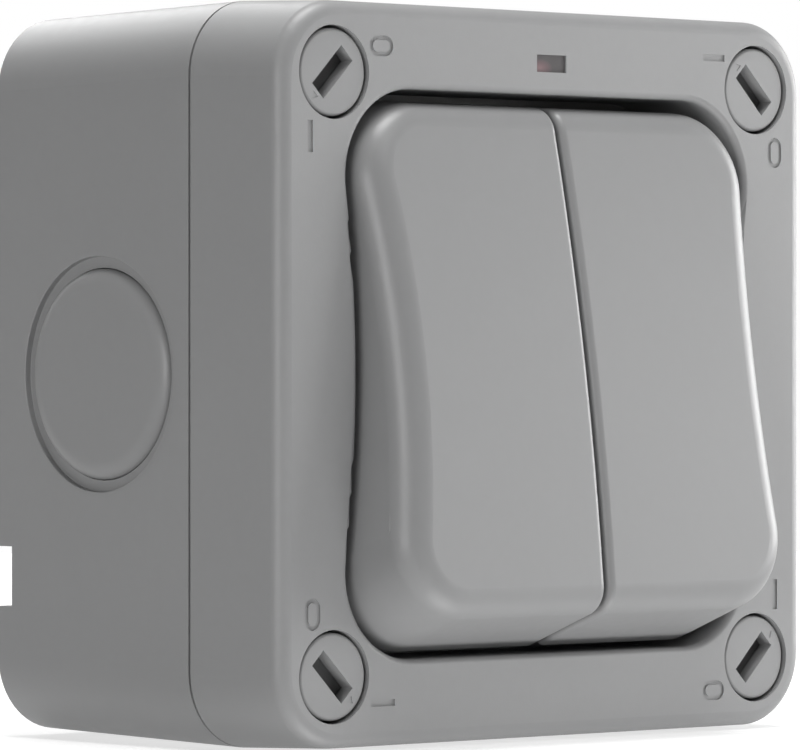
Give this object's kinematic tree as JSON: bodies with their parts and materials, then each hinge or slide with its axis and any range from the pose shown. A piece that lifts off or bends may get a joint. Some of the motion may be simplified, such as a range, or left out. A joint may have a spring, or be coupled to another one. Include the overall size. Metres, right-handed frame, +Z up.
{
  "type": "surface mounted light switch",
  "caption": "Surface mounted outdoor light switch: square sealed box and cover, tilting rocker covers in a waisted well, half-turn corner fasteners and blanked side entries.",
  "frame": {"origin": "middle of the back, on the plane of the wall", "axes": "+X to the right as seen from the front, -Y to the front, +Z up; the wall is the plane Y = 0"},
  "size_m": [0.097, 0.0677, 0.097],
  "materials": {
    "housing": "fine satin texture, mid grey",
    "rocker": "smooth satin, mid grey",
    "fastener": "satin, mid grey",
    "plug": "satin, mid grey",
    "rubber": "black seal rubber",
    "module": "white moulding",
    "nylon": "natural nylon",
    "brass": "bright brass",
    "steel": "zinc plated",
    "silver": "silver contact",
    "lens": "smoked red window",
    "lamp_glass": "clear glass",
    "resistor": "lacquered"
  },
  "bodies": {
    "switch": {"back_box": "housing", "front_cover": "housing", "cover_gasket": "rubber", "fastener_seals": "rubber", "module_screws": "steel", "indicator_lens": "lens", "lamp_holder": "nylon", "neon_lamp": "lamp_glass", "lamp_resistor": "resistor", "earth_terminal": "brass", "earth_screw": "steel", "entry_plug_left": "plug", "plug_seal_left": "rubber", "entry_plug_right": "plug", "plug_seal_right": "rubber", "entry_plug_top": "plug", "plug_seal_top": "rubber", "entry_plug_bottom": "plug", "plug_seal_bottom": "rubber", "stem_seal_left": "rubber", "module_housing_left": "module", "terminal_upper_left": "brass", "terminal_lower_left": "brass", "terminal_common_left": "brass", "terminal_screws_left": "steel", "stem_seal_right": "rubber", "module_housing_right": "module", "terminal_upper_right": "brass", "terminal_lower_right": "brass", "terminal_common_right": "brass", "terminal_screws_right": "steel"},
    "rocker_left": {"rocker_left": "rocker", "pivot_pin_left": "steel", "dolly_left": "nylon", "plunger_spring_left": "steel"},
    "plunger_left": {"plunger_left": "nylon"},
    "seesaw_left": {"seesaw_left": "brass", "moving_contacts_left": "silver"},
    "rocker_right": {"rocker_right": "rocker", "pivot_pin_right": "steel", "dolly_right": "nylon", "plunger_spring_right": "steel"},
    "plunger_right": {"plunger_right": "nylon"},
    "seesaw_right": {"seesaw_right": "brass", "moving_contacts_right": "silver"},
    "fastener_top_left": {"fastener_top_left": "fastener"},
    "fastener_top_right": {"fastener_top_right": "fastener"},
    "fastener_bottom_left": {"fastener_bottom_left": "fastener"},
    "fastener_bottom_right": {"fastener_bottom_right": "fastener"}
  },
  "joints": [
    {"name": "rocker_left_pivot", "type": "hinge", "parent": "switch", "child": "rocker_left", "pos_m": [-0.0179, -0.0483, 0], "axis": [1, 0, 0], "range_deg": [0, 17.6]},
    {"name": "plunger_left_slide", "type": "slide", "parent": "rocker_left", "child": "plunger_left", "axis": [0, 0.9882, -0.153], "range_m": [0, 0.0004]},
    {"name": "seesaw_left_rock", "type": "hinge", "parent": "switch", "child": "seesaw_left", "pos_m": [-0.0179, -0.0307, 0], "axis": [1, 0, 0], "range_deg": [-12, 0]},
    {"name": "rocker_right_pivot", "type": "hinge", "parent": "switch", "child": "rocker_right", "pos_m": [0.0179, -0.0483, 0], "axis": [1, 0, 0], "range_deg": [0, 17.6]},
    {"name": "plunger_right_slide", "type": "slide", "parent": "rocker_right", "child": "plunger_right", "axis": [0, 0.9882, -0.153], "range_m": [0, 0.0004]},
    {"name": "seesaw_right_rock", "type": "hinge", "parent": "switch", "child": "seesaw_right", "pos_m": [0.0179, -0.0307, 0], "axis": [1, 0, 0], "range_deg": [-12, 0]},
    {"name": "fastener_top_left_turn", "type": "hinge", "parent": "switch", "child": "fastener_top_left", "pos_m": [-0.0387, -0.057, 0.0387], "axis": [0, 1, 0], "range_deg": [-180, 0]},
    {"name": "fastener_top_right_turn", "type": "hinge", "parent": "switch", "child": "fastener_top_right", "pos_m": [0.0387, -0.057, 0.0387], "axis": [0, 1, 0], "range_deg": [-180, 0]},
    {"name": "fastener_bottom_left_turn", "type": "hinge", "parent": "switch", "child": "fastener_bottom_left", "pos_m": [-0.0387, -0.057, -0.0387], "axis": [0, 1, 0], "range_deg": [-180, 0]},
    {"name": "fastener_bottom_right_turn", "type": "hinge", "parent": "switch", "child": "fastener_bottom_right", "pos_m": [0.0387, -0.057, -0.0387], "axis": [0, 1, 0], "range_deg": [-180, 0]}
  ],
  "couplings": [
    {"joint": "seesaw_left_rock", "follows": "rocker_left_pivot", "ratio": -0.68},
    {"joint": "seesaw_right_rock", "follows": "rocker_right_pivot", "ratio": -0.68}
  ]
}
